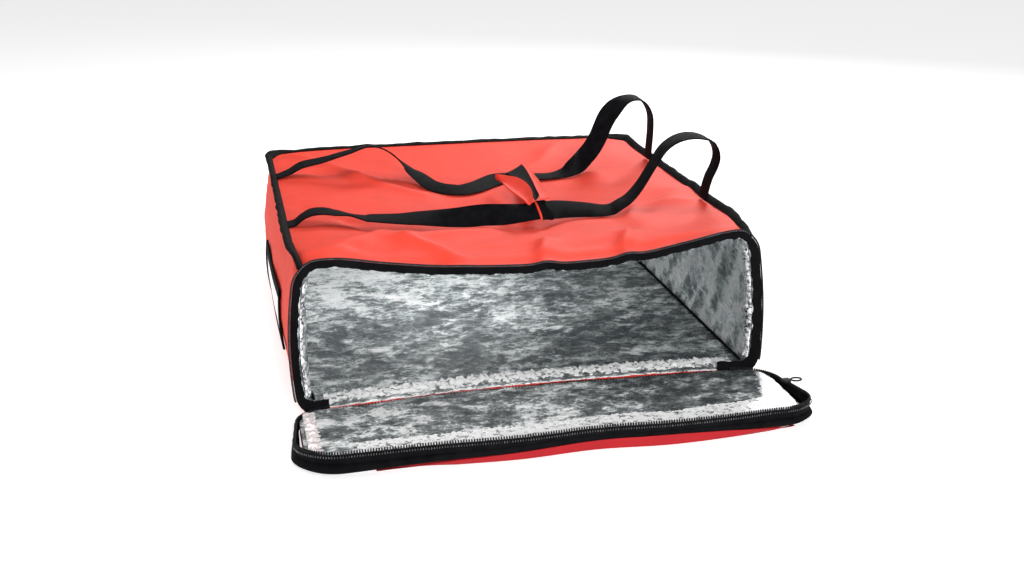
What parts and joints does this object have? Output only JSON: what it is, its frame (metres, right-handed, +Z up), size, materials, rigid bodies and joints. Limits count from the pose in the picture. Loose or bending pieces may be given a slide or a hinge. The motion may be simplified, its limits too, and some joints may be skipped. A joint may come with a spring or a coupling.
{
  "type": "pizza delivery bag",
  "caption": "Insulated padded carry bag for pizza boxes, lined with foil, its zipped front flap lying open and two webbing handles draped over the top.",
  "frame": {"origin": "centre of the bag body's base, on the floor", "axes": "+X to the right seen from the opening, +Y from the opening to the back, +Z up"},
  "size_m": [0.5489, 0.6944, 0.2451],
  "materials": {
    "bottom_panel": "padded woven polyester",
    "flap_gusset": "woven black webbing and tape",
    "flap_lining": "crinkled metallised film",
    "flap_panel": "padded woven polyester",
    "flap_zip_tape": "woven black webbing and tape",
    "flap_zip_teeth": "moulded coil",
    "front_handle": "woven black webbing and tape",
    "handle_wrap": "padded woven polyester",
    "hinge_strip": "padded woven polyester",
    "label_binding": "woven black webbing and tape",
    "label_window": "clear flexible sleeve",
    "lining_floor": "crinkled metallised film",
    "lining_top": "crinkled metallised film",
    "lining_walls": "crinkled metallised film",
    "opening_zip_tape": "woven black webbing and tape",
    "opening_zip_teeth": "moulded coil",
    "rear_handle": "woven black webbing and tape",
    "top_binding": "woven black webbing and tape",
    "top_panel": "padded woven polyester",
    "wall_band": "padded woven polyester",
    "wrap_hook_strip": "woven black webbing and tape",
    "zip_pull": "woven black webbing and tape",
    "zip_slider": "moulded coil"
  },
  "bodies": {
    "root": {"bottom_panel": "bottom_panel", "flap_gusset": "flap_gusset", "flap_lining": "flap_lining", "flap_panel": "flap_panel", "flap_zip_tape": "flap_zip_tape", "flap_zip_teeth": "flap_zip_teeth", "front_handle": "front_handle", "handle_wrap": "handle_wrap", "hinge_strip": "hinge_strip", "label_binding": "label_binding", "label_window": "label_window", "lining_floor": "lining_floor", "lining_top": "lining_top", "lining_walls": "lining_walls", "opening_zip_tape": "opening_zip_tape", "opening_zip_teeth": "opening_zip_teeth", "rear_handle": "rear_handle", "top_binding": "top_binding", "top_panel": "top_panel", "wall_band": "wall_band", "wrap_hook_strip": "wrap_hook_strip", "zip_pull": "zip_pull", "zip_slider": "zip_slider"}
  },
  "joints": []
}
